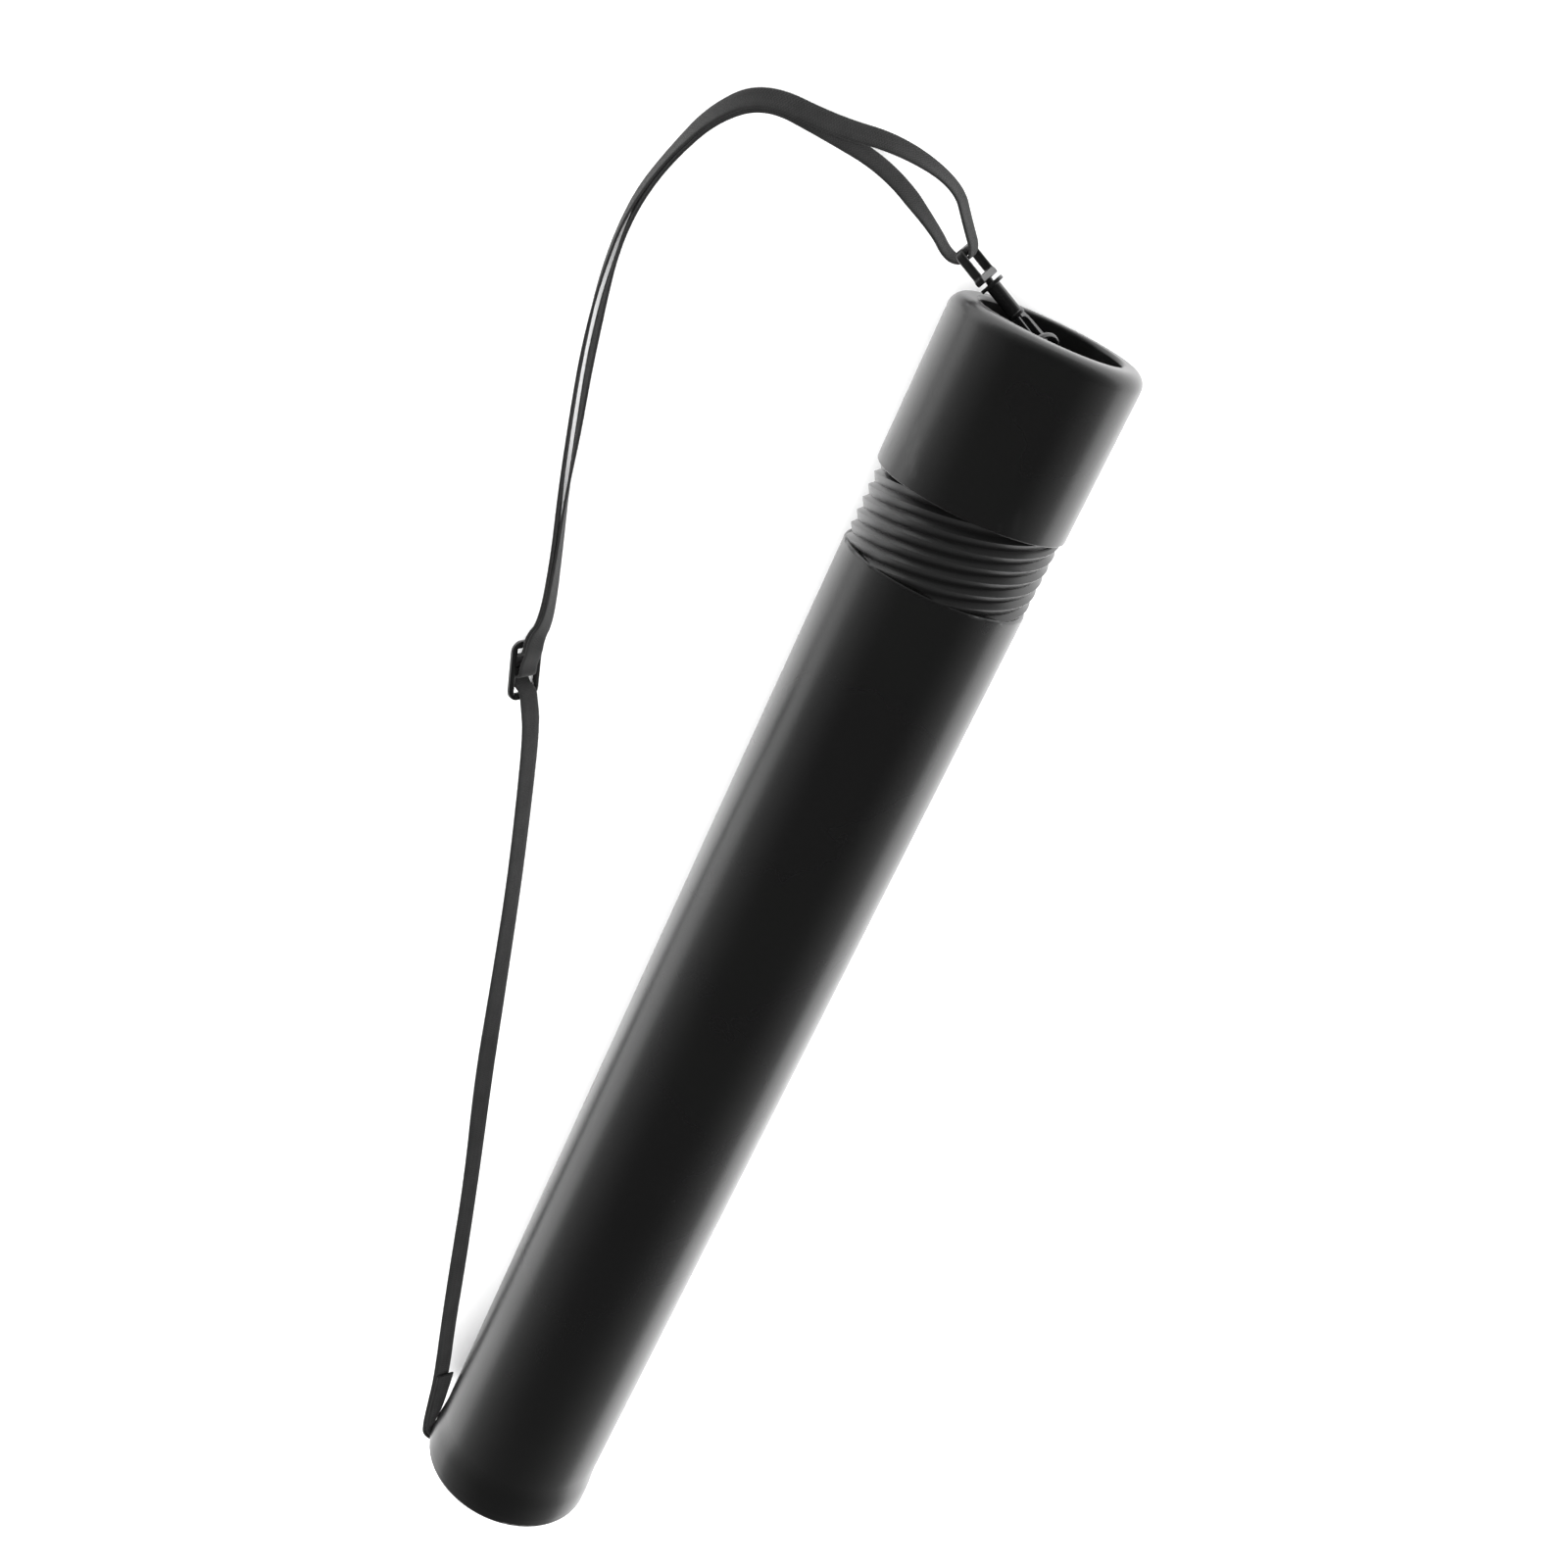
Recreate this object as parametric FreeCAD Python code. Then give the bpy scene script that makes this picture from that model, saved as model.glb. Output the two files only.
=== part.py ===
"""A screw-capped drawing tube lying on its side, with its shoulder strap laid out beside it.

Millimetres. +Z is up and the floor is z = 0. The tube's axis runs along +X, base to cap, and the
strap lies on the +Y side. The origin is on the floor, under the middle of the tube.
"""
import FreeCAD
import Part
import math
import os

from FreeCAD import Vector

# --- driving dimensions -------------------------------------------------------------------------
TUBE_LENGTH = 648.0        # base face to the top of the cap, cap part-way unscrewed
BODY_R = 42.5              # 85 mm tube
CAP_R = 43.65              # cap skirt, and the bead round the base, which the tube rests on
WALL = 2.2

BASE_X = -TUBE_LENGTH / 2
CAP_TOP_X = TUBE_LENGTH / 2
AXIS_Z = CAP_R             # height of the tube's axis over the floor

BASE_RECESS_R = 24.0
BASE_RECESS_DEPTH = 14.0
BASE_BAR_R = 2.2
BASE_BAR_X = BASE_X + 8.0
BASE_RIM = 6.0             # straight part of the widened rim round the base
BASE_FLARE = 20.0          # length over which the rim runs out into the body

SHOULDER_X = 212.0         # where the threaded neck starts
NECK_TOP_X = 259.5
NECK_BORE_R = 38.0
NECK_CORE_R = 40.0

THREAD_STARTS = 8
THREAD_LEAD = 48.0         # travel of the cap in one turn
THREAD_ROOT_R = 40.1
THREAD_CREST_R = 42.2
THREAD_FALL = 0.63         # share of each start taken by the long flank

CAP_EDGE_X = 247.5         # lower edge of the cap
CAP_BORE_R = 42.55
CAP_STEP_X = 298.5         # shelf inside the cap that the recess cup is pressed against
CAP_UPPER_R = 41.4
CAP_RIM_R = 7.0            # rounding of the cap's outer rim
RECESS_R = 32.0
RECESS_WALL = 2.0
RECESS_LIP_X = 312.0       # joint between the shell's turned-in lip and the recess cup
RECESS_LIP_R = 1.8
SEAL_X = 292.7              # meets the neck when the cap is screwed right down
SEAL_INNER_R = 37.5
LUG_X = 251.0
LUG_ROOT_R = 1.6
LUG_TIP_R = 0.5
LUG_REACH_R = 41.0

STUD_R = 3.0
STUD_CLEARANCE = 0.08
STUD_HEAD_R = 5.5
PLATE_LENGTH = 34.0
PLATE_WIDTH = 10.0
PLATE_THICKNESS = 3.0
PLATE_GAP = 0.3            # axial play on each side of the turning plate
BAIL_R = 14.0              # centre line of the bail's arch
BAIL_WIRE_R = 1.2
BAIL_CENTRE_X = 308.0
BAIL_TURN = 50.0           # how far the turning plate has swung round from level

HOOK_NOSE = Vector(316.0, -0.7, 43.65)
HOOK_BAR = Vector(337.8, 44.9, 34.5)      # middle of the bar that the strap goes round
HOOK_ROLL = 67.0           # turn of the hook about its own length
HOOK_FLAT = 4.0            # thickness of the moulded hook
BARREL_R = 3.1
FLANGE_R = 5.3
PIN_R = 1.6
PIN_CLEARANCE = 0.08

SLIDER_CENTRE = Vector(87.0, 146.0, 8.5)
SLIDER_HEADING = 15.0
SLIDER_LEAN = 45.0
SLIDER_LENGTH = 29.0
SLIDER_WIDTH = 17.0
SLIDER_FLAT = 2.6

STRAP_WIDTH = 10.0
STRAP_THICKNESS = 1.3

# Route of the strap's middle line. The strap stands on its edge.
BASE_LOOP = [
    (-289.5, 48.0, 33.8), (-306.5, 45.8, 34.4), (-319.5, 44.7, 34.8), (-325.1, 44.0, 35.0),
    (-325.2, 36.5, 36.6), (-325.4, 22.5, 41.0), (-318.0, 4.9, 43.4), (-311.4, 3.8, 43.7),
    (-311.2, -4.2, 43.7), (-319.5, -4.0, 43.6), (-327.2, 14.0, 41.6), (-327.2, 36.5, 36.4),
    (-327.0, 45.8, 34.8), (-319.5, 46.5, 34.6), (-306.0, 47.8, 34.2),
]
SINGLE_RUN = [
    (-289.0, 50.3, 33.2), (-260.5, 57.2, 31.4), (-230.5, 63.8, 28.0), (-174.5, 76.3, 21.8),
    (-121.5, 90.0, 15.8), (-69.5, 101.3, 10.6), (-17.5, 112.9, 7.2), (30.5, 125.0, 6.4),
]
# Both strands side by side: x, y, z and half of the distance between their middle lines.
DOUBLED = [
    (113.0, 146.8, 8.4, 1.0), (140.5, 152.2, 6.0, 1.1), (170.5, 159.0, 5.6, 1.5),
    (198.5, 164.8, 5.4, 1.8), (224.5, 169.6, 5.4, 1.2), (242.5, 172.6, 5.4, 1.0), (258.5, 174.9, 5.4, 1.4),
    (273.5, 176.2, 5.4, 1.5), (288.5, 176.2, 5.4, 1.2), (304.5, 174.4, 5.5, 1.0), (322.5, 168.6, 5.8, 1.0),
    (343.5, 158.2, 6.6, 1.0), (359.5, 143.0, 8.4, 1.3),
]
OUTER_LEG = [(361.5, 114, 13.0), (358.0, 91, 18.0)]
INNER_LEG = [(354.9, 118, 11.4), (348.6, 88, 17.0)]
HOOK_LOOP = [
    (351.0, 60.3, 29.4), (345.4, 50.7, 34.2), (339.2, 41.0, 36.2),
    (333.6, 43.4, 33.8), (332.4, 50.3, 31.0), (336.2, 59.8, 27.0),
]
HOOK_LOOP_Y = 72.0         # the strap's end nearer to the hook than this moves with the cap
# Along the slider and above its middle plane.
WEAVE = [(-16.5, 3.6), (-8.6, 3.2), (-6.8, -3.7), (6.8, -3.7), (8.6, 3.2), (16.5, 3.4)]
SEWN_END = [(16.5, 5.8), (9.4, 5.2), (2.5, 2.3), (-2.8, 2.3), (-2.8, -2.2), (2.6, -2.2)]


# --- helpers ------------------------------------------------------------------------------------
def export(shape, name):
    """Write one sub-part and report whether it is sound."""
    shape.exportStep("parts/" + name + ".step")
    print(name, "solids", len(shape.Solids), "volume", round(shape.Volume), "valid", shape.isValid())


def line(a, b):
    return Part.LineSegment(Vector(*a), Vector(*b)).toShape()


def arc(a, middle, b):
    return Part.Arc(Vector(*a), Vector(*middle), Vector(*b)).toShape()


def corner_arc(centre, radius, start, end):
    """Arc in the X-radius plane, from one angle to another in degrees."""
    def at(angle):
        turn = math.radians(angle)
        return (centre[0] + radius * math.cos(turn), centre[1] + radius * math.sin(turn), 0)
    return arc(at(start), at((start + end) / 2), at(end))


def turned(edges):
    """Solid of revolution about the tube's axis from edges in the X-radius plane."""
    face = Part.Face(Part.Wire(edges))
    solid = face.revolve(Vector(0, 0, 0), Vector(1, 0, 0), 360)
    return on_axis(solid)


def on_axis(shape):
    moved = shape.copy()
    moved.translate(Vector(0, 0, AXIS_Z))
    return moved


def outline(points):
    """Closed chain of straight edges through points in the X-radius plane."""
    corners = [(x, r, 0) for x, r in points]
    return [line(a, b) for a, b in zip(corners, corners[1:] + corners[:1])]


def ring(x_low, x_high, r_inner, r_outer):
    return turned(outline([(x_low, r_inner), (x_high, r_inner), (x_high, r_outer), (x_low, r_outer)]))


def on_bail_plate(shape):
    swung = shape.copy()
    swung.rotate(Vector(0, 0, 0), Vector(1, 0, 0), BAIL_TURN)
    return on_axis(swung)


def rod(x_low, x_high, radius):
    return on_axis(Part.makeCylinder(radius, x_high - x_low, Vector(x_low, 0, 0), Vector(1, 0, 0)))


def route_wire(points, report=""):
    """Straight runs joined by tangent arcs as large as the two runs allow."""
    points = [Vector(*p) for p in points]
    edges = []
    radii = []
    last = points[0]
    for before, corner, after in zip(points, points[1:], points[2:]):
        back = before - corner
        ahead = after - corner
        shorter = min(back.Length, ahead.Length)
        turn = math.pi - back.getAngle(ahead)
        set_back = 0.45 * shorter
        radius = set_back / math.tan(turn / 2)
        start = corner + back.normalize() * set_back
        end = corner + ahead.normalize() * set_back
        inward = (back + ahead).normalize()
        middle = corner + inward * (radius / math.cos(turn / 2) - radius)
        edges.append(Part.LineSegment(last, start).toShape())
        edges.append(Part.Arc(start, middle, end).toShape())
        radii.append(round(radius, 1))
        last = end
    edges.append(Part.LineSegment(last, points[-1]).toShape())
    wire = Part.Wire(edges)
    if report:
        print(report, "length", round(wire.Length, 1), "arc radii", radii)
    return wire


def between(a, b, share):
    """A point part of the way from one point of the route to the next."""
    return tuple(p + (q - p) * share for p, q in zip(a, b))


def webbing(points, across, name):
    """Flat strap along a route, its width held in one direction."""
    wire = route_wire(points, name)
    start = Vector(*points[0])
    along = (Vector(*points[1]) - start).normalize()
    width = across * (STRAP_WIDTH / 2)
    thick = along.cross(across).normalize() * (STRAP_THICKNESS / 2)
    corners = [start + width + thick, start - width + thick, start - width - thick, start + width - thick]
    profile = Part.makePolygon(corners + corners[:1])
    shell = Part.BRepOffsetAPI.MakePipeShell(wire)
    shell.setBiNormalMode(across)
    shell.add(profile, False, False)
    shell.build()
    shell.makeSolid()
    solid = shell.shape()
    full = STRAP_WIDTH * STRAP_THICKNESS * wire.Length
    print(name, "volume over section times length", round(solid.Volume / full, 3))
    return solid


def strand(side):
    """One of the two strands of the doubled stretch: side is +1 for the outer one."""
    points = []
    for i, (x, y, z, half_gap) in enumerate(DOUBLED):
        before = DOUBLED[max(i - 1, 0)]
        after = DOUBLED[min(i + 1, len(DOUBLED) - 1)]
        heading = math.atan2(after[1] - before[1], after[0] - before[0])
        step = side * half_gap
        points.append((x - step * math.sin(heading), y + step * math.cos(heading), z))
    return points


# --- tube body ----------------------------------------------------------------------------------
def thread_sleeve():
    """Multi-start thread: a lobed outline twisted along the neck, trimmed by a turned envelope."""
    start_x = SHOULDER_X - 1.0
    end_x = NECK_TOP_X - 0.5
    pitch_angle = 360.0 / THREAD_STARTS

    def at(radius, angle):
        turn = math.radians(angle + 360.0 * (start_x - SHOULDER_X) / THREAD_LEAD)
        return (start_x, radius * math.cos(turn), radius * math.sin(turn))

    mean_r = (THREAD_CREST_R + THREAD_ROOT_R) / 2
    edges = []
    for i in range(THREAD_STARTS):
        crest = pitch_angle * i
        root = crest + pitch_angle * THREAD_FALL
        following = crest + pitch_angle
        edges.append(arc(at(THREAD_CREST_R, crest), at(mean_r, (crest + root) / 2), at(THREAD_ROOT_R, root)))
        edges.append(arc(at(THREAD_ROOT_R, root), at(mean_r, (root + following) / 2),
                         at(THREAD_CREST_R, following)))
    profile = Part.Wire(edges)
    length = end_x - start_x
    spine = Part.Wire([line((start_x, 0, 0), (end_x, 0, 0))])
    helix = Part.makeHelix(THREAD_LEAD, length, THREAD_ROOT_R)
    helix.rotate(Vector(0, 0, 0), Vector(0, 1, 0), 90)
    helix.translate(Vector(start_x, 0, 0))
    shell = Part.BRepOffsetAPI.MakePipeShell(spine)
    shell.setAuxiliarySpine(Part.Wire(helix.Edges), True, 0)
    shell.add(profile, False, False)
    shell.build()
    shell.makeSolid()
    twisted = on_axis(shell.shape())
    envelope = turned(outline([
        (start_x + 0.1, NECK_CORE_R - 1.0), (end_x - 0.1, NECK_CORE_R - 1.0), (end_x - 0.1, NECK_CORE_R + 0.3),
        (end_x - 2.6, THREAD_CREST_R + 0.2), (start_x + 0.1, THREAD_CREST_R + 0.2)]))
    return twisted.common(envelope)


def tube_body():
    base_edge_r = 3.0
    shoulder_r = 1.6
    floor_x = BASE_X + BASE_RECESS_DEPTH
    inner_r = BODY_R - WALL
    rim_x = BASE_X + BASE_RIM
    half_x = rim_x + BASE_FLARE / 2
    end_x = rim_x + BASE_FLARE
    drop = CAP_R - BODY_R
    edges = [
        line((floor_x, 0, 0), (floor_x, BASE_RECESS_R, 0)),
        line((floor_x, BASE_RECESS_R, 0), (BASE_X + 1.0, BASE_RECESS_R, 0)),
        corner_arc((BASE_X + 1.0, BASE_RECESS_R + 1.0), 1.0, 270, 180),
        line((BASE_X, BASE_RECESS_R + 1.0, 0), (BASE_X, CAP_R - base_edge_r, 0)),
        corner_arc((BASE_X + base_edge_r, CAP_R - base_edge_r), base_edge_r, 180, 90),
        line((BASE_X + base_edge_r, CAP_R, 0), (rim_x, CAP_R, 0)),
        arc((rim_x, CAP_R, 0), (rim_x + BASE_FLARE / 4, CAP_R - drop / 8, 0), (half_x, CAP_R - drop / 2, 0)),
        arc((half_x, CAP_R - drop / 2, 0), (end_x - BASE_FLARE / 4, BODY_R + drop / 8, 0), (end_x, BODY_R, 0)),
        line((end_x, BODY_R, 0), (SHOULDER_X - shoulder_r, BODY_R, 0)),
        corner_arc((SHOULDER_X - shoulder_r, BODY_R - shoulder_r), shoulder_r, 90, 0),
        line((SHOULDER_X, BODY_R - shoulder_r, 0), (SHOULDER_X, NECK_CORE_R, 0)),
        line((SHOULDER_X, NECK_CORE_R, 0), (NECK_TOP_X, NECK_CORE_R, 0)),
        line((NECK_TOP_X, NECK_CORE_R, 0), (NECK_TOP_X, NECK_BORE_R, 0)),
        line((NECK_TOP_X, NECK_BORE_R, 0), (SHOULDER_X + 4, NECK_BORE_R, 0)),
        line((SHOULDER_X + 4, NECK_BORE_R, 0), (SHOULDER_X - 6, inner_r, 0)),
        line((SHOULDER_X - 6, inner_r, 0), (BASE_X + 7, inner_r, 0)),
        line((BASE_X + 7, inner_r, 0), (BASE_X + 2.5, inner_r - 4, 0)),
        line((BASE_X + 2.5, inner_r - 4, 0), (BASE_X + 2.5, BASE_RECESS_R + WALL, 0)),
        line((BASE_X + 2.5, BASE_RECESS_R + WALL, 0), (floor_x + WALL, BASE_RECESS_R + WALL, 0)),
        line((floor_x + WALL, BASE_RECESS_R + WALL, 0), (floor_x + WALL, 0, 0)),
        line((floor_x + WALL, 0, 0), (floor_x, 0, 0)),
    ]
    shell = turned(edges)
    bar_hole = base_bar_rod(BASE_RECESS_R + 1.4)
    return shell.fuse(thread_sleeve()).cut(bar_hole)


def base_bar_rod(half_length):
    foot = Vector(BASE_BAR_X, 0, AXIS_Z - half_length)
    return Part.makeCylinder(BASE_BAR_R, 2 * half_length, foot, Vector(0, 0, 1))


# --- cap ----------------------------------------------------------------------------------------
def cap_shell():
    rim_x = CAP_TOP_X - CAP_RIM_R
    rim_centre = (rim_x, CAP_R - CAP_RIM_R)
    lip_centre = (CAP_TOP_X - RECESS_LIP_R, RECESS_R + RECESS_LIP_R)
    edges = [
        line((CAP_EDGE_X, CAP_BORE_R + 0.2, 0), (CAP_EDGE_X, CAP_R - 0.5, 0)),
        line((CAP_EDGE_X, CAP_R - 0.5, 0), (CAP_EDGE_X + 0.5, CAP_R, 0)),
        line((CAP_EDGE_X + 0.5, CAP_R, 0), (rim_x, CAP_R, 0)),
        corner_arc(rim_centre, CAP_RIM_R, 90, 0),
        line((CAP_TOP_X, rim_centre[1], 0), (CAP_TOP_X, lip_centre[1], 0)),
        corner_arc(lip_centre, RECESS_LIP_R, 0, -90),
        line((lip_centre[0], RECESS_R, 0), (RECESS_LIP_X, RECESS_R, 0)),
        line((RECESS_LIP_X, RECESS_R, 0), (RECESS_LIP_X, RECESS_R + RECESS_WALL, 0)),
        line((RECESS_LIP_X, RECESS_R + RECESS_WALL, 0), (rim_x + 3.5, RECESS_R + RECESS_WALL, 0)),
        line((rim_x + 3.5, RECESS_R + RECESS_WALL, 0), (rim_x + 3.5, CAP_R - CAP_RIM_R + 0.6, 0)),
        line((rim_x + 3.5, CAP_R - CAP_RIM_R + 0.6, 0), (rim_x - 0.5, CAP_UPPER_R, 0)),
        line((rim_x - 0.5, CAP_UPPER_R, 0), (CAP_STEP_X, CAP_UPPER_R, 0)),
        line((CAP_STEP_X, CAP_UPPER_R, 0), (CAP_STEP_X, CAP_BORE_R, 0)),
        line((CAP_STEP_X, CAP_BORE_R, 0), (CAP_EDGE_X + 0.3, CAP_BORE_R, 0)),
        line((CAP_EDGE_X + 0.3, CAP_BORE_R, 0), (CAP_EDGE_X, CAP_BORE_R + 0.2, 0)),
    ]
    shell = turned(edges)
    lugs = []
    pitch_angle = 360.0 / THREAD_STARTS
    for i in range(THREAD_STARTS):
        lug = Part.makeCone(LUG_TIP_R, LUG_ROOT_R, CAP_BORE_R + 0.3 - LUG_REACH_R,
                            Vector(LUG_X, LUG_REACH_R, 0), Vector(0, 1, 0))
        angle = pitch_angle * (i + THREAD_FALL) + 360.0 * (LUG_X - SHOULDER_X) / THREAD_LEAD
        lug.rotate(Vector(0, 0, 0), Vector(1, 0, 0), angle)
        lugs.append(on_axis(lug))
    return shell.fuse(lugs)


def recess_cup():
    floor_low = CAP_STEP_X - 2.0
    cup = turned(outline([
        (floor_low, 0), (floor_low, CAP_BORE_R - 0.2), (CAP_STEP_X, CAP_BORE_R - 0.2),
        (CAP_STEP_X, RECESS_R + RECESS_WALL), (RECESS_LIP_X, RECESS_R + RECESS_WALL),
        (RECESS_LIP_X, RECESS_R), (CAP_STEP_X + 2.5, RECESS_R), (CAP_STEP_X, RECESS_R - 2.5),
        (CAP_STEP_X, 0)]))
    return cup.cut(rod(floor_low - 1, CAP_STEP_X + 1, STUD_R))


def bail_stud():
    """Rivet through the recess floor that the bail's plate turns on."""
    tail_x = CAP_STEP_X - 2.0
    head_x = CAP_STEP_X + PLATE_THICKNESS + 2 * PLATE_GAP
    crown_x = head_x + 2.2
    crown_r = 1.6
    return turned([
        line((tail_x - 1.6, 0, 0), (tail_x - 1.6, STUD_HEAD_R, 0)),
        line((tail_x - 1.6, STUD_HEAD_R, 0), (tail_x, STUD_HEAD_R, 0)),
        line((tail_x, STUD_HEAD_R, 0), (tail_x, STUD_R, 0)),
        line((tail_x, STUD_R, 0), (head_x, STUD_R, 0)),
        line((head_x, STUD_R, 0), (head_x, STUD_HEAD_R, 0)),
        line((head_x, STUD_HEAD_R, 0), (head_x + 0.8, STUD_HEAD_R, 0)),
        arc((head_x + 0.8, STUD_HEAD_R, 0), (head_x + 1.8, 3.9, 0), (crown_x, crown_r, 0)),
        line((crown_x, crown_r, 0), (crown_x, 0, 0)),
        line((crown_x, 0, 0), (tail_x - 1.6, 0, 0)),
    ])


def bail_plate():
    low_x = CAP_STEP_X + PLATE_GAP
    bar = Part.makeBox(PLATE_THICKNESS, PLATE_LENGTH - PLATE_WIDTH, PLATE_WIDTH,
                       Vector(low_x, -(PLATE_LENGTH - PLATE_WIDTH) / 2, -PLATE_WIDTH / 2))
    ends = []
    for side in (-1, 1):
        centre = Vector(low_x, side * (PLATE_LENGTH - PLATE_WIDTH) / 2, 0)
        ends.append(Part.makeCylinder(PLATE_WIDTH / 2, PLATE_THICKNESS, centre, Vector(1, 0, 0)))
    plate = bar.fuse(ends).removeSplitter()
    holes = [Part.makeCylinder(STUD_R + STUD_CLEARANCE, 20, Vector(low_x - 5, 0, 0), Vector(1, 0, 0))]
    for side in (-1, 1):
        foot = Vector(low_x - 5, side * BAIL_R, 0)
        holes.append(Part.makeCylinder(BAIL_WIRE_R, 20, foot, Vector(1, 0, 0)))
    return on_bail_plate(plate.cut(holes))


def bail_ring():
    foot_x = CAP_STEP_X + PLATE_GAP + 0.4
    path = Part.Wire([
        line((foot_x, -BAIL_R, 0), (BAIL_CENTRE_X, -BAIL_R, 0)),
        arc((BAIL_CENTRE_X, -BAIL_R, 0), (BAIL_CENTRE_X + BAIL_R, 0, 0), (BAIL_CENTRE_X, BAIL_R, 0)),
        line((BAIL_CENTRE_X, BAIL_R, 0), (foot_x, BAIL_R, 0)),
    ])
    section = Part.Wire([Part.Circle(Vector(foot_x, -BAIL_R, 0), Vector(1, 0, 0), BAIL_WIRE_R).toShape()])
    return on_bail_plate(path.makePipeShell([section], True, False))


# --- snap hook ----------------------------------------------------------------------------------
def hook_axes():
    """Unit vectors: along the hook, across its width, and through its thickness."""
    along = (HOOK_BAR - HOOK_NOSE).normalize()
    level = Vector(0, 0, 1).cross(along).normalize()
    down = along.cross(level).normalize() * -1
    level = level * -1
    roll = math.radians(HOOK_ROLL)
    across = level * math.cos(roll) + down * math.sin(roll)
    return along, across, across.cross(along)


def at_hook(shape):
    """Place a shape drawn along X, with its width on Z, at the hook."""
    along, across, through = hook_axes()
    placed = shape.copy()
    matrix = FreeCAD.Matrix(
        along.x, through.x, across.x, HOOK_NOSE.x,
        along.y, through.y, across.y, HOOK_NOSE.y,
        along.z, through.z, across.z, HOOK_NOSE.z)
    placed.transformShape(matrix)
    return placed


def flat_shape(edges, thickness):
    face = Part.Face(Part.Wire(edges))
    solid = face.extrude(Vector(0, thickness, 0))
    solid.translate(Vector(0, -thickness / 2, 0))
    return solid


def hook_length():
    return (HOOK_BAR - HOOK_NOSE).Length


def plan(points):
    """Closed chain of straight edges through points in the hook's flat plane."""
    corners = [(u, 0, w) for u, w in points]
    return [line(a, b) for a, b in zip(corners, corners[1:] + corners[:1])]


def hook_body():
    head = flat_shape([
        line((19.0, 0, -2.9), (19.0, 0, 2.9)),
        arc((19.0, 0, 2.9), (14.0, 0, 4.5), (8.5, 0, 4.8)),
        arc((8.5, 0, 4.8), (1.2, 0, 2.4), (0.2, 0, -2.6)),
        arc((0.2, 0, -2.6), (1.4, 0, -4.0), (3.6, 0, -4.4)),
        line((3.6, 0, -4.4), (3.6, 0, -2.9)),
        arc((3.6, 0, -2.9), (2.7, 0, -0.3), (5.6, 0, 2.2)),
        line((5.6, 0, 2.2), (14.0, 0, 2.2)),
        arc((14.0, 0, 2.2), (15.8, 0, 0.8), (16.2, 0, -1.4)),
        line((16.2, 0, -1.4), (17.6, 0, -1.4)),
        line((17.6, 0, -1.4), (19.0, 0, -2.9)),
    ], HOOK_FLAT)
    barrel = Part.makeCylinder(BARREL_R, 15.6, Vector(18.0, 0, 0), Vector(1, 0, 0))
    collar = Part.makeCylinder(BARREL_R + 0.5, 1.4, Vector(17.6, 0, 0), Vector(1, 0, 0))
    flange = Part.makeCylinder(FLANGE_R, 1.6, Vector(33.4, 0, 0), Vector(1, 0, 0))
    body = head.fuse([barrel, collar, flange])
    bore = Part.makeCylinder(PIN_R + PIN_CLEARANCE, 8, Vector(31, 0, 0), Vector(1, 0, 0))
    cavity = Part.makeCylinder(2.6, 3.2, Vector(28.9, 0, 0), Vector(1, 0, 0))
    return at_hook(body.cut([bore, cavity]))


def hook_gate():
    leaf = flat_shape(plan([
        (18.6, -3.4), (17.3, -1.9), (15.6, -2.3), (5.0, -2.9), (4.0, -3.0), (4.0, -4.0), (6.0, -4.1), (16.5, -3.8)]),
        HOOK_FLAT - 0.6)
    clear = Part.makeCylinder(BARREL_R + 0.6, 10, Vector(17.4, 0, 0), Vector(1, 0, 0))
    return at_hook(leaf.cut(clear))


def hook_eye():
    bar_u = hook_length()
    base_u = 36.6
    outer = flat_shape([
        line((base_u, 0, -8.6), (base_u, 0, 8.6)),
        line((base_u, 0, 8.6), (base_u + 2.2, 0, 8.6)),
        line((base_u + 2.2, 0, 8.6), (base_u + 3.4, 0, 7.8)),
        line((base_u + 3.4, 0, 7.8), (bar_u - 1.5, 0, 7.8)),
        arc((bar_u - 1.5, 0, 7.8), (bar_u + 0.9, 0, 6.8), (bar_u + 1.9, 0, 4.6)),
        line((bar_u + 1.9, 0, 4.6), (bar_u + 1.9, 0, -4.6)),
        arc((bar_u + 1.9, 0, -4.6), (bar_u + 0.9, 0, -6.8), (bar_u - 1.5, 0, -7.8)),
        line((bar_u - 1.5, 0, -7.8), (base_u + 3.4, 0, -7.8)),
        line((base_u + 3.4, 0, -7.8), (base_u + 2.2, 0, -8.6)),
        line((base_u + 2.2, 0, -8.6), (base_u, 0, -8.6)),
    ], HOOK_FLAT)
    window = flat_shape(plan([
        (base_u + 3.4, -5.7), (bar_u - 1.8, -5.7), (bar_u - 1.8, 5.7), (base_u + 3.4, 5.7)]), HOOK_FLAT * 2)
    frame = outer.cut(window)
    softened = frame.makeChamfer(0.6, [e for e in frame.Edges if abs(e.CenterOfMass.y) > HOOK_FLAT / 2 - 0.01])
    hole = Part.makeCylinder(PIN_R, 10, Vector(base_u - 3, 0, 0), Vector(1, 0, 0))
    return at_hook(softened.cut(hole))


def swivel_pin():
    shank = Part.makeCylinder(PIN_R, 8.4, Vector(31.2, 0, 0), Vector(1, 0, 0))
    head = Part.makeCylinder(2.3, 2.0, Vector(29.4, 0, 0), Vector(1, 0, 0))
    return at_hook(shank.fuse(head))


# --- slider -------------------------------------------------------------------------------------
def slider_axes():
    heading = math.radians(SLIDER_HEADING)
    lean = math.radians(SLIDER_LEAN)
    along = Vector(math.cos(heading), math.sin(heading), 0)
    sideways = Vector(-math.sin(heading), math.cos(heading), 0)
    across = sideways * math.cos(lean) + Vector(0, 0, math.sin(lean))
    return along, across, along.cross(across)


def slider_point(s, n):
    along, across, up = slider_axes()
    p = SLIDER_CENTRE + along * s + up * n
    return (p.x, p.y, p.z)


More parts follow.
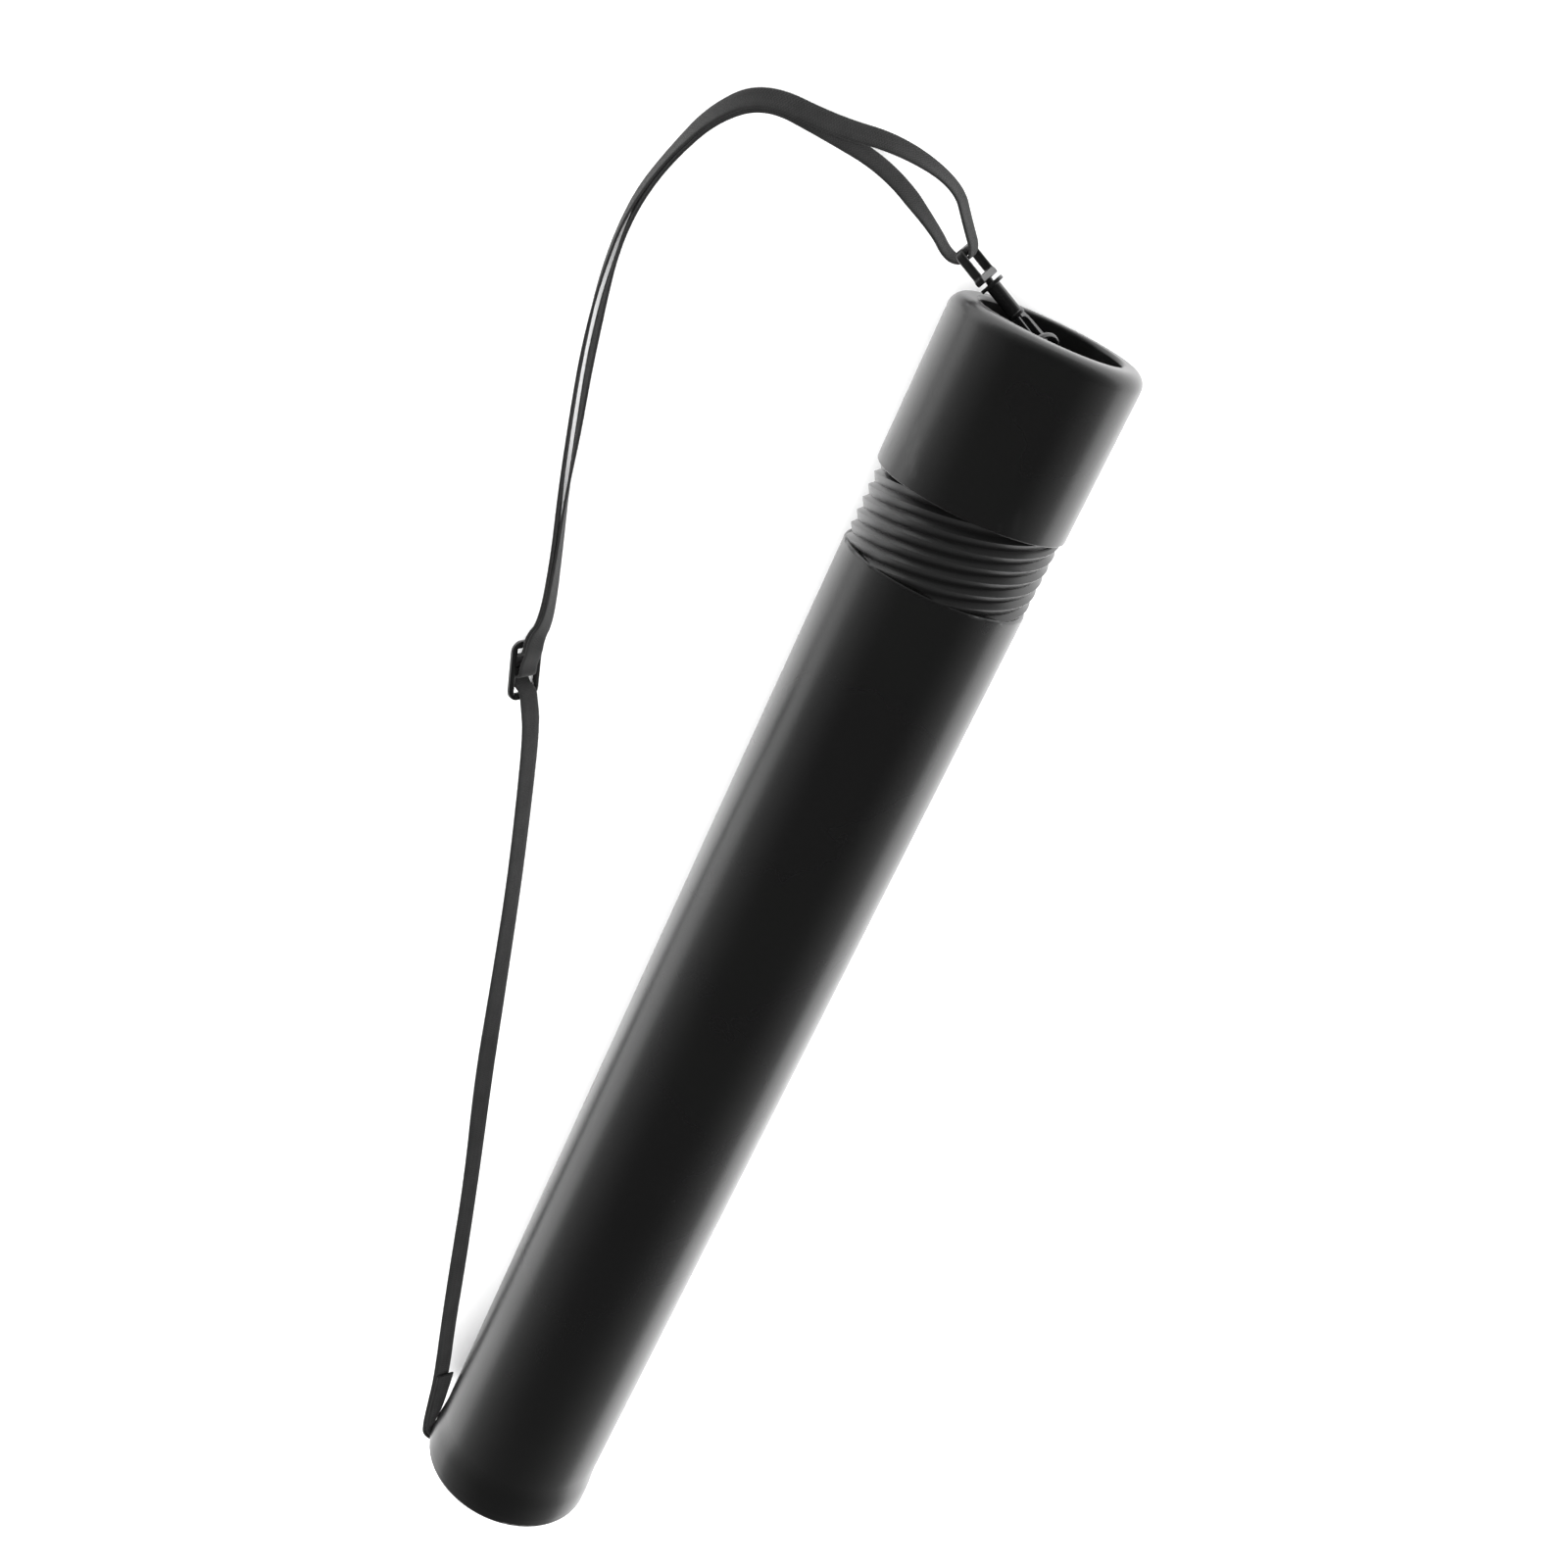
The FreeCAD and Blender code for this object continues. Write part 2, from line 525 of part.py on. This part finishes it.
def strap_slider():
    along, across, up = slider_axes()
    end_bar = 3.4
    centre_bar = 3.4
    slot_half = STRAP_WIDTH / 2 + 0.7
    slot_length = SLIDER_LENGTH / 2 - end_bar - centre_bar / 2
    frame = Part.makeBox(SLIDER_LENGTH, SLIDER_WIDTH, SLIDER_FLAT,
                         Vector(-SLIDER_LENGTH / 2, -SLIDER_WIDTH / 2, -SLIDER_FLAT / 2))
    corners = [e for e in frame.Edges if abs(e.CenterOfMass.z) < 0.01]
    frame = frame.makeFillet(5.0, corners)
    slots = []
    for start in (-SLIDER_LENGTH / 2 + end_bar, centre_bar / 2):
        slots.append(Part.makeBox(slot_length, 2 * slot_half, 10, Vector(start, -slot_half, -5)))
    frame = frame.cut(slots)
    faces = [e for e in frame.Edges if abs(abs(e.CenterOfMass.z) - SLIDER_FLAT / 2) < 0.01]
    frame = frame.makeChamfer(0.5, faces)
    matrix = FreeCAD.Matrix(
        along.x, across.x, up.x, SLIDER_CENTRE.x,
        along.y, across.y, up.y, SLIDER_CENTRE.y,
        along.z, across.z, up.z, SLIDER_CENTRE.z)
    frame.transformShape(matrix)
    return frame


# --- strap --------------------------------------------------------------------------------------
def half_space(side):
    """Everything on one side of the plane where the strap's end starts to move with the cap."""
    reach = 1000.0
    low_y = HOOK_LOOP_Y if side > 0 else HOOK_LOOP_Y - reach
    return Part.makeBox(reach, reach, reach, Vector(-reach / 2, low_y, -reach / 2))


def strap_pieces():
    """Route and width direction of each stretch. Two stretches meet on a straight run."""
    upright = Vector(0, 0, 1)
    weave = [slider_point(s, n) for s, n in WEAVE]
    sewn_end = [slider_point(s, n) for s, n in SEWN_END]
    outer = strand(1) + OUTER_LEG
    inner = strand(-1) + INNER_LEG
    at_seam = between(BASE_LOOP[-1], SINGLE_RUN[0], 0.4)
    into_slider = between(SINGLE_RUN[-1], weave[0], 0.85)
    out_of_slider = between(weave[-1], outer[0], 0.1)
    onto_sewn_end = between(sewn_end[0], inner[0], 0.1)
    leaning = slider_axes()[1]
    return {
        "strap_base_loop": (BASE_LOOP + [at_seam], upright),
        "strap_single_run": ([at_seam] + SINGLE_RUN + [into_slider], upright),
        "strap_slider_weave": ([into_slider] + weave + [out_of_slider], leaning),
        "strap_sewn_end": ([onto_sewn_end] + sewn_end, leaning),
        "strap_outer_strand": ([out_of_slider] + outer + [HOOK_LOOP[0]], upright),
        "strap_inner_strand": ([onto_sewn_end] + inner + [HOOK_LOOP[-1]], upright),
        "strap_hook_loop": (outer[-1:] + HOOK_LOOP + inner[-1:], hook_axes()[1]),
    }


# --- build --------------------------------------------------------------------------------------
def main():
    os.makedirs("parts", exist_ok=True)
    export(tube_body(), "tube_body")
    export(base_bar_rod(BASE_RECESS_R + 1.4), "base_bar")
    export(cap_shell(), "cap_shell")
    export(recess_cup(), "cap_recess_cup")
    export(ring(SEAL_X, CAP_STEP_X - 2.0, SEAL_INNER_R, CAP_BORE_R - 0.3), "cap_seal")
    export(bail_stud(), "bail_stud")
    export(bail_plate(), "bail_plate")
    export(bail_ring(), "bail_ring")
    export(hook_body(), "hook_body")
    export(hook_gate(), "hook_gate")
    export(hook_eye(), "hook_eye")
    export(swivel_pin(), "swivel_pin")
    export(strap_slider(), "strap_slider")
    for name, (points, across) in strap_pieces().items():
        solid = webbing(points, across, name)
        if name == "strap_hook_loop":
            solid = solid.common(half_space(-1))
        elif name in ("strap_outer_strand", "strap_inner_strand"):
            solid = solid.common(half_space(1))
        export(solid, name)


main()
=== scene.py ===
"""Looks of the drawing tube: plastics, webbing, stitches, floor, light and camera.

Metres, in the part's own frame: +X along the tube from base to cap, +Y towards the strap, +Z up.
"""
import math
import bmesh
import bpy
from mathutils import Matrix, Vector


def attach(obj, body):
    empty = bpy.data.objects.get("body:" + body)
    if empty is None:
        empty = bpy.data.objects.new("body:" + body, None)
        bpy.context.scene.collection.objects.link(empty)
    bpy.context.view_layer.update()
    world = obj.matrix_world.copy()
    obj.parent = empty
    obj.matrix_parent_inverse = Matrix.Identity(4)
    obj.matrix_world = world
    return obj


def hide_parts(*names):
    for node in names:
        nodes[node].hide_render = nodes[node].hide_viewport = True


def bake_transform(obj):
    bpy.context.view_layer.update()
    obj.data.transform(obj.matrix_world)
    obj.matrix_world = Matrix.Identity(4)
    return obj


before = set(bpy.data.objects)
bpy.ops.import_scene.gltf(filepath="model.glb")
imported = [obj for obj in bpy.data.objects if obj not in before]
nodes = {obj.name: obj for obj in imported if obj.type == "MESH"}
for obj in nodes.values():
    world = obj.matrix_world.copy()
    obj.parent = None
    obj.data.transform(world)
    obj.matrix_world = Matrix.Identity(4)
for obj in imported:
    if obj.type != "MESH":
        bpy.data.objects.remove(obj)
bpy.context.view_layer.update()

# --- driving values -----------------------------------------------------------------------------
UP = Vector((0.0, 0.0, 1.0))

STRAP_WIDTH = 0.010
STRAP_THICKNESS = 0.0013
RIB = 0.0012                  # length of one rib of the weave along the strap
RIB_DEPTH = 0.00010           # how far each rib stands out of the strap's edge
YARNS = 18                    # fine yarns in half of the strap's width
# The strap's cross-section: shares of half its width and of half its thickness.
SECTION = [
    (-1.0, 0.0), (-0.94, 0.75), (-0.8, 1.0), (-0.4, 0.94), (0.0, 0.9), (0.4, 0.94), (0.8, 1.0), (0.94, 0.75),
    (1.0, 0.0), (0.94, -0.75), (0.8, -1.0), (0.4, -0.94), (0.0, -0.9), (-0.4, -0.94), (-0.8, -1.0),
    (-0.94, -0.75),
]
RIBBED_FROM = 0.9             # share of half the width beyond which the ribs stand out

SEAM_AT = 0.148               # distance of the base seam's first row along strap_out
SEAM_ROWS = (0.0, 0.004)
STITCHES = 5                  # stitches in a row
STITCH_PITCH = 0.0017
STITCH_RADII = (0.00065, 0.00028, 0.0002)

SLIDER_CENTRE = Vector((0.087, 0.146, 0.0085))
SLIDER_HEADING = math.radians(15.0)
SLIDER_LEAN = math.radians(45.0)
HOOK_NOSE = Vector((0.316, -0.0007, 0.04365))
HOOK_BAR = Vector((0.3378, 0.0449, 0.0345))
HOOK_ROLL = math.radians(67.0)

# Routes of the strap's middle line: x, y, z and how many degrees its width leans from upright.
BASE_LOOP = [
    (-0.2895, 0.0480, 0.0338, -48), (-0.3065, 0.0458, 0.0344, -42), (-0.3195, 0.0447, 0.0348, -30),
    (-0.3251, 0.0440, 0.0350, -12), (-0.3252, 0.0365, 0.0366, 0), (-0.3254, 0.0225, 0.0410, 0),
    (-0.3180, 0.0049, 0.0434, 0), (-0.3114, 0.0038, 0.0437, 0), (-0.3112, -0.0042, 0.0437, 0),
    (-0.3195, -0.0040, 0.0436, 0), (-0.3272, 0.0140, 0.0416, 0), (-0.3272, 0.0365, 0.0364, 0),
    (-0.3270, 0.0458, 0.0348, 12), (-0.3195, 0.0465, 0.0346, 30), (-0.3060, 0.0478, 0.0342, 42),
]
SINGLE_RUN = [
    (-0.2890, 0.0503, 0.0332, 45), (-0.2605, 0.0572, 0.0314, 43), (-0.2305, 0.0638, 0.0280, 49),
    (-0.1745, 0.0763, 0.0218, 42), (-0.1215, 0.0900, 0.0158, 57), (-0.0695, 0.1013, 0.0106, 46),
    (-0.0175, 0.1129, 0.0072, 40), (0.0305, 0.1250, 0.0064, 42), (0.0610, 0.1332, 0.0085, 44),
]
# Both strands side by side: x, y, z, half of the distance between them, inner lean and outer lean.
DOUBLED = [
    (0.1130, 0.1452, 0.0094, 0.0009, 24, 24), (0.1405, 0.1512, 0.0060, 0.0010, 11, 11),
    (0.1705, 0.1590, 0.0056, 0.0015, 0, 2), (0.1985, 0.1648, 0.0054, 0.0020, -14, 1),
    (0.2245, 0.1702, 0.0054, 0.0020, -18, 1), (0.2425, 0.1731, 0.0054, 0.0020, -18, 0),
    (0.2585, 0.1752, 0.0054, 0.0019, -14, -4), (0.2735, 0.1763, 0.0054, 0.0017, -4, -6),
    (0.2885, 0.1764, 0.0054, 0.0014, -6, -6), (0.3045, 0.1744, 0.0055, 0.0011, -12, -12),
    (0.3225, 0.1687, 0.0058, 0.0010, -12, -12), (0.3442, 0.1588, 0.0066, 0.0010, -26, -30),
    (0.3592, 0.1424, 0.0084, 0.0013, -45, -54),
]
OUTER_LEG = [(0.3596, 0.1112, 0.0130, -52), (0.3640, 0.0850, 0.0180, -42)]
INNER_LEG = [(0.3566, 0.1155, 0.0114, -42), (0.3535, 0.0850, 0.0170, -38)]
HOOK_LOOP = [
    (0.3600, 0.0580, 0.0294), (0.3476, 0.0482, 0.0342), (0.3392, 0.0410, 0.0362),
    (0.3336, 0.0434, 0.0338), (0.3330, 0.0500, 0.0310), (0.3398, 0.0586, 0.0270),
]
# How far along the slider from its centre, and how far above its middle plane.
WEAVE = [(-0.0150, 0.0056), (-0.0086, 0.0036), (-0.0068, -0.0037), (0.0068, -0.0037), (0.0086, 0.0032),
         (0.0165, 0.0034)]
SEWN_END = [(0.0165, 0.0058), (0.0094, 0.0052), (0.0025, 0.0023), (-0.0028, 0.0023), (-0.0028, -0.0022),
            (0.0026, -0.0022)]

CAMERA_AT = (0.4207, 0.1628, 0.8500)
CAMERA_AXES = ((0.3957, -0.9184, 0.0023), (0.8409, 0.3613, -0.4030), (0.3693, 0.1614, 0.9152))
CAMERA_LENS = 45.0

WALL_TONE = 0.7               # the surroundings at the level of the floor
CEILING_TONE = 0.03           # the surroundings overhead
CEILING_FROM = 0.75           # upward part of a direction from which they have the ceiling's tone
LIGHT_AT = (0.0, 0.1, 3.0)
LIGHT_TARGET = (0.0, 0.1, 0.0)
LIGHT_SIZE = (4.0, 4.0)
LIGHT_POWER = 340.0
FLOOR_HALF_SIZE = 6.0
FLOOR_TONE = 0.9

EDGE_VOXEL = 0.00025          # grid on which the small moulded pieces' corners are rounded off
EDGE_PASSES = 4


# --- stage --------------------------------------------------------------------------------------
def grey(value):
    return (value, value, value, 1.0)


def camera():
    data = bpy.data.cameras.new("camera")
    data.lens = CAMERA_LENS
    data.sensor_width = 36.0
    data.clip_start = 0.01
    obj = bpy.data.objects.new("camera", data)
    bpy.context.scene.collection.objects.link(obj)
    obj.matrix_world = Matrix.LocRotScale(
        Vector(CAMERA_AT), Matrix(CAMERA_AXES).transposed().to_quaternion(), None)
    bpy.context.scene.camera = obj


def overhead_light():
    """One broad soft light from above, which the plastics don't mirror."""
    data = bpy.data.lights.new("overhead", "AREA")
    data.shape = "RECTANGLE"
    data.size, data.size_y = LIGHT_SIZE
    data.energy = LIGHT_POWER
    obj = bpy.data.objects.new("overhead", data)
    bpy.context.scene.collection.objects.link(obj)
    obj.location = LIGHT_AT
    downwards = Vector(LIGHT_TARGET) - Vector(LIGHT_AT)
    obj.rotation_euler = downwards.to_track_quat("-Z", "Y").to_euler()
    obj.visible_glossy = False


def studio():
    """A pale floor, and surroundings that darken from the walls up to the ceiling."""
    bpy.context.scene.view_settings.view_transform = "Standard"
    world = bpy.data.worlds.new("studio")
    bpy.context.scene.world = world
    world.use_nodes = True
    tree = world.node_tree
    background = tree.nodes["Background"]
    direction = tree.nodes.new("ShaderNodeTexCoord")
    height = tree.nodes.new("ShaderNodeSeparateXYZ")
    ramp = tree.nodes.new("ShaderNodeValToRGB")
    tree.links.new(direction.outputs["Generated"], height.inputs["Vector"])
    tree.links.new(height.outputs["Z"], ramp.inputs["Fac"])
    tree.links.new(ramp.outputs["Color"], background.inputs["Color"])
    stops = ramp.color_ramp.elements
    stops[0].position = 0.0
    stops[0].color = grey(WALL_TONE)
    stops[1].position = CEILING_FROM
    stops[1].color = grey(CEILING_TONE)
    background.inputs["Strength"].default_value = 1.0
    overhead_light()

    mesh = bpy.data.meshes.new("floor")
    bm = bmesh.new()
    bmesh.ops.create_grid(bm, x_segments=1, y_segments=1, size=FLOOR_HALF_SIZE)
    bm.to_mesh(mesh)
    bm.free()
    floor = bpy.data.objects.new("floor", mesh)
    bpy.context.scene.collection.objects.link(floor)
    pale = bpy.data.materials.new("pale_floor")
    pale.use_nodes = True
    shader = pale.node_tree.nodes["Principled BSDF"]
    shader.inputs["Base Color"].default_value = grey(FLOOR_TONE)
    shader.inputs["Roughness"].default_value = 0.9
    shader.inputs["Specular IOR Level"].default_value = 0.1
    mesh.materials.append(pale)


# --- materials ----------------------------------------------------------------------------------
class Shader:
    """A material with its Principled shader, and short ways to add and join nodes."""

    def __init__(self, name):
        self.material = bpy.data.materials.new(name)
        self.material.use_nodes = True
        self.tree = self.material.node_tree
        self.main = self.tree.nodes["Principled BSDF"]

    def node(self, kind, **values):
        made = self.tree.nodes.new("ShaderNode" + kind)
        for key, value in values.items():
            setattr(made, key, value)
        return made

    def join(self, source, target):
        self.tree.links.new(source, target)

    def feed(self, target, source):
        """A link where source is a socket, a plain value otherwise."""
        if isinstance(source, bpy.types.NodeSocket):
            self.join(source, target)
        else:
            target.default_value = source

    def place(self):
        return self.node("TexCoord").outputs["Object"]

    def math(self, operation, a, b=0.0):
        made = self.node("Math", operation=operation)
        self.feed(made.inputs[0], a)
        self.feed(made.inputs[1], b)
        return made.outputs[0]

    def noise(self, scale, detail, stretch=(1.0, 1.0, 1.0)):
        scaled = self.node("Mapping")
        scaled.inputs["Scale"].default_value = stretch
        self.join(self.place(), scaled.inputs["Vector"])
        made = self.node("TexNoise")
        made.inputs["Scale"].default_value = scale
        made.inputs["Detail"].default_value = detail
        self.join(scaled.outputs["Vector"], made.inputs["Vector"])
        return made.outputs["Fac"]

    def span(self, source, low, high, to_low=0.0, to_high=1.0):
        made = self.node("MapRange")
        self.join(source, made.inputs["Value"])
        for socket, value in zip(made.inputs[1:5], (low, high, to_low, to_high)):
            socket.default_value = value
        return made.outputs["Result"]

    def blend(self, share, first, second):
        made = self.node("Mix", data_type="RGBA")
        self.feed(made.inputs[0], share)
        self.feed(made.inputs[6], first)
        self.feed(made.inputs[7], second)
        return made.outputs[2]

    def bump(self, height, distance, strength):
        made = self.node("Bump")
        made.inputs["Strength"].default_value = strength
        made.inputs["Distance"].default_value = distance
        self.join(height, made.inputs["Height"])
        self.join(made.outputs["Normal"], self.main.inputs["Normal"])


def moulded_plastic(name, tone, roughness, scuffs):
    """Black moulded plastic: faint skin texture, uneven gloss and scuffs that are paler and duller."""
    s = Shader(name)
    mottle = s.noise(9.0, 4.0)
    skin = s.noise(900.0, 2.0)
    marks = s.noise(60.0, 6.0, (0.35, 1.0, 1.0))
    scuff = s.span(marks, 0.66, 0.74)
    patch = s.span(s.noise(14.0, 1.0), 0.52, 0.66)
    worn = s.math("MULTIPLY", s.math("MULTIPLY", scuff, patch), scuffs)
    colour = s.blend(worn, grey(tone), grey(tone * 4 + 0.02))
    s.join(colour, s.main.inputs["Base Color"])
    uneven = s.span(mottle, 0.3, 0.7, roughness - 0.05, roughness + 0.05)
    gloss = s.math("ADD", uneven, s.math("MULTIPLY", worn, 0.25))
    s.join(gloss, s.main.inputs["Roughness"])
    s.bump(skin, 0.00004, 0.35)
    return s.material


def webbing():
    """Narrow woven tape: chevron ribs across it, finer yarns, slightly fuzzy. Its colour is painted shade in
    the weave's grooves and painted light on its ribs, plus some random wear.
    """
    s = Shader("webbing")
    along = s.node("Attribute", attribute_name="along").outputs["Fac"]
    across = s.node("Attribute", attribute_name="across").outputs["Fac"]
    saw = s.math("FRACT", s.math("MULTIPLY", across, 2.0))
    chevron = s.math("ABSOLUTE", s.math("SUBTRACT", saw, 0.5))
    phase = s.math("ADD", s.math("DIVIDE", along, RIB), s.math("MULTIPLY", chevron, 1.6))
    rib = s.math("SINE", s.math("MULTIPLY", phase, 2 * math.pi))
    yarn = s.math("SINE", s.math("MULTIPLY", across, 2 * math.pi * YARNS))
    fuzz = s.noise(2500.0, 3.0)
    height = s.math("ADD", s.math("MULTIPLY", rib, 0.5), s.math("MULTIPLY", yarn, 0.2))
    height = s.math("ADD", height, s.math("MULTIPLY", fuzz, 0.6))
    wear = s.noise(120.0, 3.0)
    # Colour taken from the weave's height: painted shade in the grooves, painted light on the ribs and
    # yarns.
    rib_painted_shade = s.span(height, -0.5, 1.0, 0.003, 0.016)
    tone = s.math("ADD", rib_painted_shade, s.span(wear, 0.3, 0.7, 0.0, 0.004))
    shade = s.node("CombineColor")
    for socket in shade.inputs[:3]:
        s.join(tone, socket)
    s.join(shade.outputs["Color"], s.main.inputs["Base Color"])
    s.main.inputs["Roughness"].default_value = 0.85
    s.main.inputs["Specular IOR Level"].default_value = 0.3
    s.main.inputs["Sheen Weight"].default_value = 0.08
    s.main.inputs["Sheen Roughness"].default_value = 0.5
    s.bump(height, 0.00012, 0.8)
    return s.material


# --- strap --------------------------------------------------------------------------------------
def slider_axes():
    along = Vector((math.cos(SLIDER_HEADING), math.sin(SLIDER_HEADING), 0.0))
    across = Vector((-along.y, along.x, 0.0)) * math.cos(SLIDER_LEAN) + UP * math.sin(SLIDER_LEAN)
    return along, across, along.cross(across)


def hook_axes():
    """Unit vectors: along the hook, across its width, and through its thickness."""
    along = (HOOK_BAR - HOOK_NOSE).normalized()
    level = -UP.cross(along).normalized()
    down = along.cross(level).normalized()
    across = level * math.cos(HOOK_ROLL) + down * math.sin(HOOK_ROLL)
    return along, across, across.cross(along)


def leaning(points):
    """Route points with the direction of the strap's width, from points that give a lean in degrees."""
    route = []
    for i, (x, y, z, lean) in enumerate(points):
        before = Vector(points[max(i - 1, 0)][:3])
        after = Vector(points[min(i + 1, len(points) - 1)][:3])
        heading = after - before
        side = UP.cross(heading).normalized()
        turn = math.radians(lean)
        route.append((Vector((x, y, z)), UP * math.cos(turn) + side * math.sin(turn)))
    return route


def on_slider(points):
    along, across, up = slider_axes()
    return [(SLIDER_CENTRE + along * s + up * n, across) for s, n in points]


def strand(side):
    """One of the two strands of the doubled stretch: side is +1 for the outer one."""
    points = []
    for i, (x, y, z, half_gap, inner_lean, outer_lean) in enumerate(DOUBLED):
        before = DOUBLED[max(i - 1, 0)]
        after = DOUBLED[min(i + 1, len(DOUBLED) - 1)]
        heading = math.atan2(after[1] - before[1], after[0] - before[0])
        step = side * half_gap
        lean = outer_lean if side > 0 else inner_lean
        points.append((x - step * math.sin(heading), y + step * math.cos(heading), z, lean))
    return points


def round_hook(points):
    across = -hook_axes()[1]
    return [(Vector(p), across) for p in points]


def spline_points(name, points):
    """Points along the NURBS spline that has these control points, read back from Blender."""
    curve = bpy.data.curves.new(name, "CURVE")
    curve.dimensions = "3D"
    curve.resolution_u = 48
    spline = curve.splines.new("NURBS")
    spline.points.add(len(points) - 1)
    for held, place in zip(spline.points, points):
        held.co = (*place, 1.0)
    spline.order_u = 3
    spline.use_endpoint_u = True
    obj = bpy.data.objects.new(name, curve)
    bpy.context.scene.collection.objects.link(obj)
    read = bpy.data.meshes.new_from_object(obj)
    places = [v.co.copy() for v in read.vertices]
    bpy.data.objects.remove(obj)
    bpy.data.curves.remove(curve)
    bpy.data.meshes.remove(read)
    return places


def stations(route, name, spacing):
    """Evenly spaced places on the strap's middle line.

    Each one is the distance travelled, the place, and the directions of heading, width and thickness.
    """
    middle = spline_points(name + "_line", [p for p, _ in route])
    edge = spline_points(name + "_edge", [p + across * STRAP_WIDTH / 2 for p, across in route])
    travelled = [0.0]
    for a, b in zip(middle, middle[1:]):
        travelled.append(travelled[-1] + (b - a).length)
    count = round(travelled[-1] / spacing)
    found = []
    j = 0
    for i in range(count + 1):
        want = travelled[-1] * i / count
        while j < len(travelled) - 2 and travelled[j + 1] < want:
            j += 1
        share = (want - travelled[j]) / max(travelled[j + 1] - travelled[j], 1e-9)
        heading = (middle[j + 1] - middle[j]).normalized()
        place = middle[j].lerp(middle[j + 1], share)
        width = edge[j].lerp(edge[j + 1], share) - place
        width = (width - heading * width.dot(heading)).normalized()
        found.append((want, place, heading, width, width.cross(heading)))
    return found


def webbing_piece(name, route, material):
    """Woven tape along a route, with ribbed edges. Returns the piece and its middle line."""
    places = stations(route, name, RIB / 2)
    vertices = []
    along = []
    across = []
    for i, (travelled, place, _, width, through) in enumerate(places):
        proud = RIB_DEPTH * (0.5 if i % 2 else -0.5)
        for w, n in SECTION:
            reach = STRAP_WIDTH / 2 + (proud if abs(w) > RIBBED_FROM else 0.0)
            vertices.append(place + width * (w * reach) + through * (n * STRAP_THICKNESS / 2))
            along.append(travelled)
            across.append(w)
    ring = len(SECTION)
    faces = [tuple(range(ring)), tuple(reversed(range((len(places) - 1) * ring, len(places) * ring)))]
    for i in range(len(places) - 1):
        for k in range(ring):
            following = (k + 1) % ring
            low, high = i * ring, (i + 1) * ring
            faces.append((low + following, low + k, high + k, high + following))
    mesh = bpy.data.meshes.new(name)
    mesh.from_pydata(vertices, [], faces)
    mesh.attributes.new("along", "FLOAT", "POINT").data.foreach_set("value", along)
    mesh.attributes.new("across", "FLOAT", "POINT").data.foreach_set("value", across)
    mesh.shade_smooth()
    mesh.materials.append(material)
    mesh.update()
    piece = bpy.data.objects.new(name, mesh)
    bpy.context.scene.collection.objects.link(piece)
    return piece, places


def stitches(name, places, distance, side, material):
    """Rows of thread across the strap, on one side of it, where one layer is sewn to another."""
    mesh = bpy.data.meshes.new(name)
    bm = bmesh.new()
    for row in SEAM_ROWS:
        _, place, heading, width, through = min(places, key=lambda s: abs(s[0] - distance - row))
        turned = Matrix((width, heading, through)).transposed().to_4x4()
        for step in range(STITCHES):
            spot = place + width * (step - STITCHES // 2) * STITCH_PITCH
            spot += through * side * (STRAP_THICKNESS / 2)
            size = Matrix.Diagonal((*STITCH_RADII, 1.0))
            bmesh.ops.create_uvsphere(bm, u_segments=10, v_segments=6, radius=1.0,
                                      matrix=Matrix.Translation(spot) @ turned @ size)
    bm.to_mesh(mesh)
    bm.free()
    mesh.shade_smooth()
    mesh.materials.append(material)
    piece = bpy.data.objects.new(name, mesh)
    bpy.context.scene.collection.objects.link(piece)
    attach(piece, "root")


def strap():
    """The strap as two cords that meet in the hook's loop: out from the base, and back to the slider."""
    material = webbing()
    inner = leaning(strand(-1) + INNER_LEG)
    middle = [((Vector(HOOK_LOOP[-1]) + inner[-1][0]) / 2, inner[-1][1])]
    main = (leaning(BASE_LOOP + SINGLE_RUN) + on_slider(WEAVE) + leaning(strand(1) + OUTER_LEG)
            + round_hook(HOOK_LOOP) + middle)
    back = middle + list(reversed(inner)) + on_slider(SEWN_END)
    out, out_places = webbing_piece("strap_out", main, material)
    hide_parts("strap_base_loop", "strap_single_run", "strap_slider_weave", "strap_outer_strand",
                "strap_hook_loop")
    home, home_places = webbing_piece("strap_back", back, material)
    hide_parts("strap_inner_strand", "strap_sewn_end")
    for piece in (out, home):
        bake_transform(piece)
    stitches("base_seam", out_places, SEAM_AT, -1, material)


# --- build --------------------------------------------------------------------------------------
def dress(node, material):
    data = nodes[node].data
    data.materials.clear()
    data.materials.append(material)


def soften(node):
    """Rounds off a small moulded piece's corners a little."""
    fine = nodes[node].modifiers.new("fine", "REMESH")
    fine.mode = "VOXEL"
    fine.voxel_size = EDGE_VOXEL
    fine.use_smooth_shade = True
    eased = nodes[node].modifiers.new("eased", "SMOOTH")
    eased.factor = 0.5
    eased.iterations = EDGE_PASSES


camera()
studio()
body_plastic = moulded_plastic("body_plastic", tone=0.003, roughness=0.28, scuffs=0.3)
cap_plastic = moulded_plastic("cap_plastic", tone=0.003, roughness=0.28, scuffs=0.5)
hardware = moulded_plastic("hardware_plastic", tone=0.004, roughness=0.25, scuffs=0.0)
for node in ("tube_body", "base_bar"):
    dress(node, body_plastic)
for node in ("cap_shell", "cap_recess_cup", "cap_seal"):
    dress(node, cap_plastic)
for node in ("bail_stud", "bail_plate", "bail_ring", "hook_body", "hook_gate", "hook_eye", "swivel_pin",
             "strap_slider"):
    dress(node, hardware)
for node in ("hook_body", "hook_gate", "hook_eye", "strap_slider", "bail_plate"):
    soften(node)
strap()
